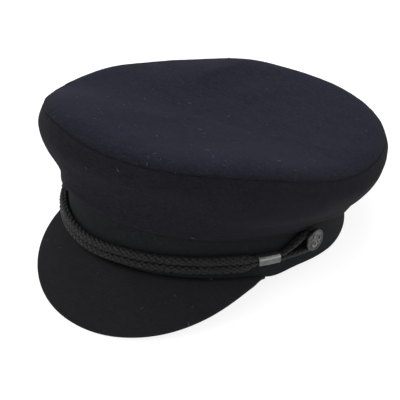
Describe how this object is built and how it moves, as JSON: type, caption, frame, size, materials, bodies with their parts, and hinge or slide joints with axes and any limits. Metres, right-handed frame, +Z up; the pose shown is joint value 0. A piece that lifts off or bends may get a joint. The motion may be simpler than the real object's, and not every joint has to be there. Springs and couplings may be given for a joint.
{
  "type": "breton fisherman cap",
  "caption": "Soft round cloth cap with a stiff band, a curved front peak and a braided cord held by metal buttons, worn on the head.",
  "frame": {"origin": "middle of the cap's underside, on the surface it rests on", "axes": "+Z up; +Y from the peak to the back of the cap; +X to the wearer's left"},
  "size_m": [0.2272, 0.28, 0.1128],
  "materials": {
    "top_cloth": "matt felted wool",
    "side_cloth": "matt felted wool",
    "peak_cloth": "matt felted wool, stretched smooth",
    "cord_yarn": "matt braided yarn",
    "pewter": "antique pewter, half shiny"
  },
  "bodies": {
    "root": {"crown_top": "top_cloth", "crown_side": "side_cloth", "band": "side_cloth", "peak": "peak_cloth", "cord": "cord_yarn", "slider_left": "pewter", "slider_right": "pewter", "button_left": "pewter", "button_right": "pewter"}
  },
  "joints": []
}
